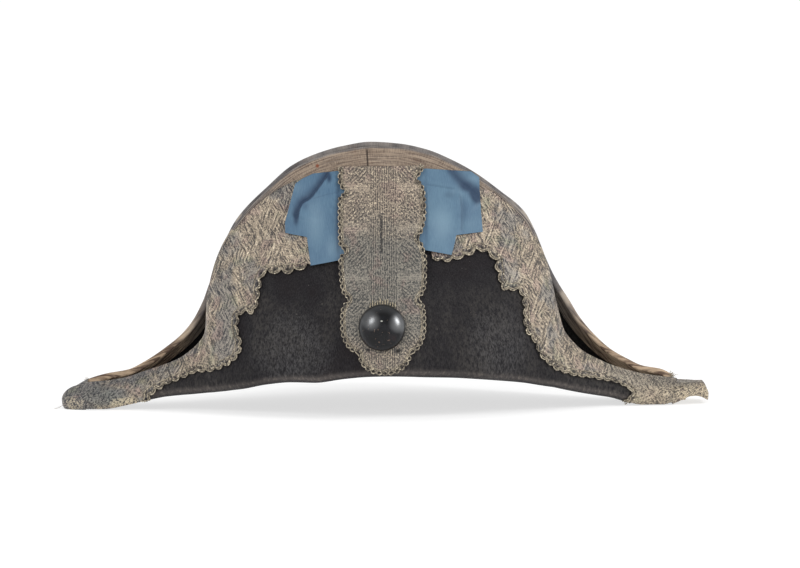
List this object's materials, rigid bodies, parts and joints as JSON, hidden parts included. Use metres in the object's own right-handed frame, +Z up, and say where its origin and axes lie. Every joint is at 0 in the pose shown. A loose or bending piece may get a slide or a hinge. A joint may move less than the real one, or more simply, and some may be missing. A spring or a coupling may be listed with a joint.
{
  "type": "bicorne hat",
  "caption": "Black felt bicorne hat with upturned front and back leaves, silver-gold lace, ribbed bindings, blue silk ribbons and a domed black button.",
  "frame": {"origin": "bottom centre of the bounding box, on the surface the horns stand on", "axes": "+X to the wearer's left horn, seen on the right from the front; -Y out of the front leaf; +Z up"},
  "size_m": [0.4328, 0.1848, 0.1756],
  "materials": {
    "felt": "matt black felt with a short nap, worn brown along the folds",
    "lace": "tarnished silver-gold metal lace, ribbed, with darker patches",
    "binding": "ribbed ribbon, faded from grey-blue to tan",
    "silk": "pale blue silk ribbon with a soft sheen",
    "button": "glossy black enamel, lightly specked"
  },
  "bodies": {
    "root": {"felt_body": "felt", "front_binding": "binding", "back_binding": "binding", "edge_lace_left": "lace", "edge_lace_right": "lace", "loop_lace": "lace", "ribbon_left": "silk", "ribbon_right": "silk", "button": "button"}
  },
  "joints": []
}
